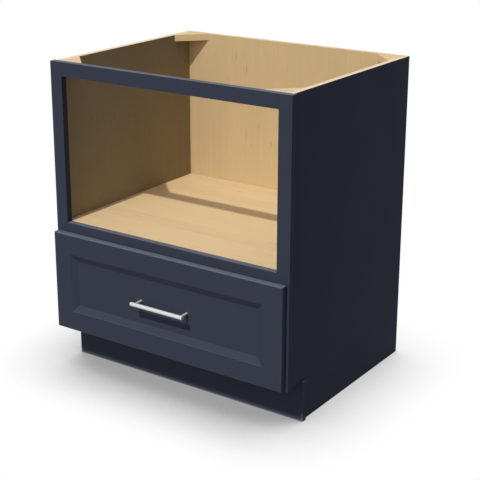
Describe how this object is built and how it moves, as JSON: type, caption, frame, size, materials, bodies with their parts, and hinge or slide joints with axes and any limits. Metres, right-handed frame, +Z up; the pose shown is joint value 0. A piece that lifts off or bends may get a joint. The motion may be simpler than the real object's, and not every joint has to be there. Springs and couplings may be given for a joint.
{
  "type": "microwave cabinet",
  "caption": "Face-frame base cabinet with an open-topped microwave niche above one deep drawer on full-extension ball-bearing slides.",
  "frame": {"origin": "middle of the bounding box, on the floor", "axes": "+Z up, the front faces -Y, +X to the right as seen from the front"},
  "size_m": [0.762, 0.6604, 0.8763],
  "materials": {
    "navy_paint": "satin navy paint on maple",
    "side_panel_finish": "satin navy paint outside, clear-coated maple veneer inside and on the edges",
    "maple_veneer": "clear-coated maple veneer",
    "bare_birch": "unfinished birch plywood",
    "drawer_birch": "clear-coated birch",
    "zinc_steel": "bright zinc plate",
    "cage_steel": "rolled steel strip",
    "ball_steel": "polished bearing steel",
    "screw_steel": "zinc plate",
    "brushed_nickel": "satin nickel",
    "bumper_rubber": "soft grey translucent rubber"
  },
  "bodies": {
    "cabinet": {"left_side_panel": "side_panel_finish", "right_side_panel": "side_panel_finish", "back_panel": "maple_veneer", "upper_hanging_rail": "bare_birch", "lower_hanging_rail": "bare_birch", "niche_shelf": "maple_veneer", "bottom_deck": "maple_veneer", "sub_toe_board": "bare_birch", "toe_kick_board": "navy_paint", "left_stile": "navy_paint", "right_stile": "navy_paint", "top_rail": "navy_paint", "mid_rail": "navy_paint", "bottom_rail": "navy_paint", "frame_dowels": "bare_birch", "front_left_corner_block": "maple_veneer", "front_right_corner_block": "maple_veneer", "rear_left_corner_block": "maple_veneer", "rear_right_corner_block": "maple_veneer", "left_slide_spacer": "bare_birch", "right_slide_spacer": "bare_birch", "spacer_screws": "screw_steel", "left_cabinet_member": "zinc_steel", "right_cabinet_member": "zinc_steel", "cabinet_member_screws": "screw_steel"},
    "drawer": {"drawer_left_side": "drawer_birch", "drawer_right_side": "drawer_birch", "drawer_box_front": "drawer_birch", "drawer_box_back": "drawer_birch", "drawer_bottom": "drawer_birch", "front_left_stile": "navy_paint", "front_right_stile": "navy_paint", "front_top_rail": "navy_paint", "front_bottom_rail": "navy_paint", "front_center_panel": "navy_paint", "front_fixing_screws": "screw_steel", "front_bumpers": "bumper_rubber", "handle_bar": "brushed_nickel", "handle_left_post": "brushed_nickel", "handle_right_post": "brushed_nickel", "handle_screws": "screw_steel", "left_drawer_member": "zinc_steel", "right_drawer_member": "zinc_steel", "drawer_member_screws": "screw_steel"},
    "left_intermediate": {"left_intermediate_member": "zinc_steel"},
    "right_intermediate": {"right_intermediate_member": "zinc_steel"},
    "left_outer_cage": {"left_outer_ball_cage": "cage_steel", "left_outer_balls": "ball_steel"},
    "left_inner_cage": {"left_inner_ball_cage": "cage_steel", "left_inner_balls": "ball_steel"},
    "right_outer_cage": {"right_outer_ball_cage": "cage_steel", "right_outer_balls": "ball_steel"},
    "right_inner_cage": {"right_inner_ball_cage": "cage_steel", "right_inner_balls": "ball_steel"}
  },
  "joints": [
    {"name": "drawer_slide", "type": "slide", "parent": "cabinet", "child": "drawer", "axis": [0, -1, 0], "range_m": [0, 0.5334]},
    {"name": "left_intermediate_slide", "type": "slide", "parent": "cabinet", "child": "left_intermediate", "axis": [0, -1, 0], "range_m": [0, 0.2667]},
    {"name": "left_outer_cage_slide", "type": "slide", "parent": "cabinet", "child": "left_outer_cage", "axis": [0, -1, 0], "range_m": [0, 0.13335]},
    {"name": "left_inner_cage_slide", "type": "slide", "parent": "cabinet", "child": "left_inner_cage", "axis": [0, -1, 0], "range_m": [0, 0.40005]},
    {"name": "right_intermediate_slide", "type": "slide", "parent": "cabinet", "child": "right_intermediate", "axis": [0, -1, 0], "range_m": [0, 0.2667]},
    {"name": "right_outer_cage_slide", "type": "slide", "parent": "cabinet", "child": "right_outer_cage", "axis": [0, -1, 0], "range_m": [0, 0.13335]},
    {"name": "right_inner_cage_slide", "type": "slide", "parent": "cabinet", "child": "right_inner_cage", "axis": [0, -1, 0], "range_m": [0, 0.40005]}
  ],
  "couplings": [
    {"joint": "left_intermediate_slide", "follows": "drawer_slide", "ratio": 0.5},
    {"joint": "left_outer_cage_slide", "follows": "drawer_slide", "ratio": 0.25},
    {"joint": "left_inner_cage_slide", "follows": "drawer_slide", "ratio": 0.75},
    {"joint": "right_intermediate_slide", "follows": "drawer_slide", "ratio": 0.5},
    {"joint": "right_outer_cage_slide", "follows": "drawer_slide", "ratio": 0.25},
    {"joint": "right_inner_cage_slide", "follows": "drawer_slide", "ratio": 0.75}
  ]
}
